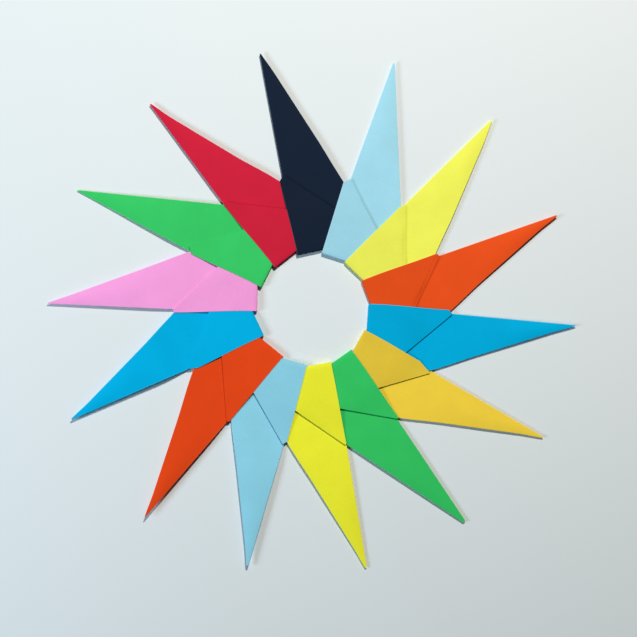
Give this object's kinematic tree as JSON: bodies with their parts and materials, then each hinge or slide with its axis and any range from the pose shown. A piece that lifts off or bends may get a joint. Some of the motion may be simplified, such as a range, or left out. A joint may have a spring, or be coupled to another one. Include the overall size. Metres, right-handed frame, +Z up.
{
  "type": "modular origami star",
  "caption": "Flat ring-shaped star of folded paper squares, each tucked into the pocket of the next, with long narrow points and a round-looking hole.",
  "frame": {"origin": "centre of the ring, on the plane that the star lies on", "axes": "+Z up through the hole, square to the flat star; +Y is near the navy unit's point, which lies a little anticlockwise of it"},
  "size_m": [0.1948, 0.1912, 0.003],
  "materials": {
    "paper_navy": "matt dyed paper",
    "paper_light_blue": "matt dyed paper",
    "paper_yellow": "matt dyed paper",
    "paper_orange": "matt dyed paper",
    "paper_blue": "matt dyed paper",
    "paper_gold": "matt dyed paper",
    "paper_green": "matt dyed paper",
    "paper_pink": "matt dyed paper",
    "paper_red": "matt dyed paper"
  },
  "bodies": {
    "root": {"unit_01_navy": "paper_navy", "unit_02_light_blue": "paper_light_blue", "unit_03_yellow": "paper_yellow", "unit_04_orange": "paper_orange", "unit_05_blue": "paper_blue", "unit_06_gold": "paper_gold", "unit_07_green": "paper_green", "unit_08_yellow": "paper_yellow", "unit_09_light_blue": "paper_light_blue", "unit_10_orange": "paper_orange", "unit_11_blue": "paper_blue", "unit_12_pink": "paper_pink", "unit_13_green": "paper_green", "unit_14_red": "paper_red"}
  },
  "joints": []
}
